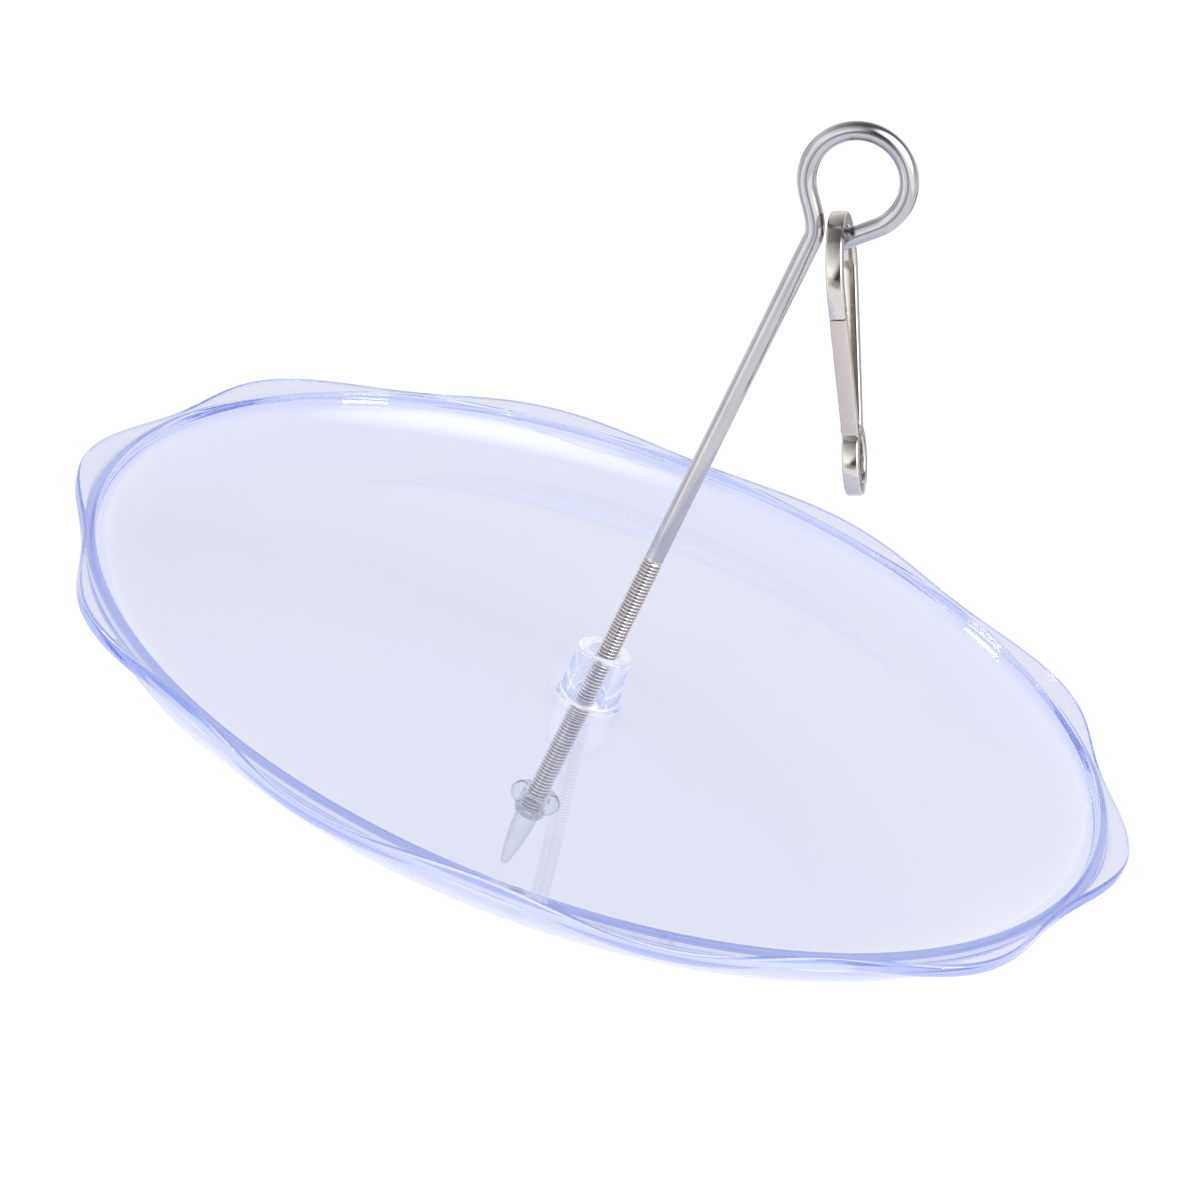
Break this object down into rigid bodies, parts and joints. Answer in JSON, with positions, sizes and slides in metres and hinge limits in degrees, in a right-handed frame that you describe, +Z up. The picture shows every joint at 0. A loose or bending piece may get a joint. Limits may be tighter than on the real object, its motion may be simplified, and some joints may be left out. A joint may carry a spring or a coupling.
{
  "type": "bird fruit holder",
  "caption": "Hanging bird feeder: a wire skewer for fruit with a hanging eye, a clear lobed catch plate, a winged tip nut and a sprung snap hook for the cage.",
  "frame": {"origin": "inner top of the skewer's eye, where it hangs, on the axis of the shaft", "axes": "+Z up along the shaft, +X in the plane of the eye towards the side its end comes round to, +Y away from the gate of the hook"},
  "size_m": [0.2091, 0.2036, 0.164],
  "materials": {
    "skewer_steel": "bright drawn stainless wire",
    "plate_plastic": "clear, faintly blue, moulded gloss",
    "nut_plastic": "clear, greyish, moulded gloss",
    "hook_nickel": "nickel plate",
    "rivet_steel": "nickel plate",
    "spring_steel": "drawn spring wire"
  },
  "bodies": {
    "skewer": {"skewer": "skewer_steel"},
    "plate": {"plate": "plate_plastic"},
    "tip_nut": {"tip_nut": "nut_plastic"},
    "snap_hook": {"hook_body": "hook_nickel", "gate_rivet": "rivet_steel", "gate_spring": "spring_steel"},
    "gate": {"hook_gate": "hook_nickel"}
  },
  "joints": [
    {"name": "plate_slide", "type": "slide", "parent": "skewer", "child": "plate", "axis": [0, 0, 1], "range_m": [-0.0194, 0.05]},
    {"name": "tip_nut_turn", "type": "hinge", "parent": "skewer", "child": "tip_nut", "pos_m": [0, 0, -0.146], "axis": [0, 0, 1], "continuous": true},
    {"name": "hook_swing", "type": "hinge", "parent": "skewer", "child": "snap_hook", "pos_m": [0.00464, 0, -0.01866], "axis": [0.6769, 0, 0.7361], "range_deg": [-55, 55]},
    {"name": "gate_open", "type": "hinge", "parent": "snap_hook", "child": "gate", "pos_m": [0.02159, -0.00243, -0.04886], "axis": [-0.8721, 0, -0.4894], "range_deg": [0, 25], "stiffness_Nm_per_rad": 0.02}
  ]
}
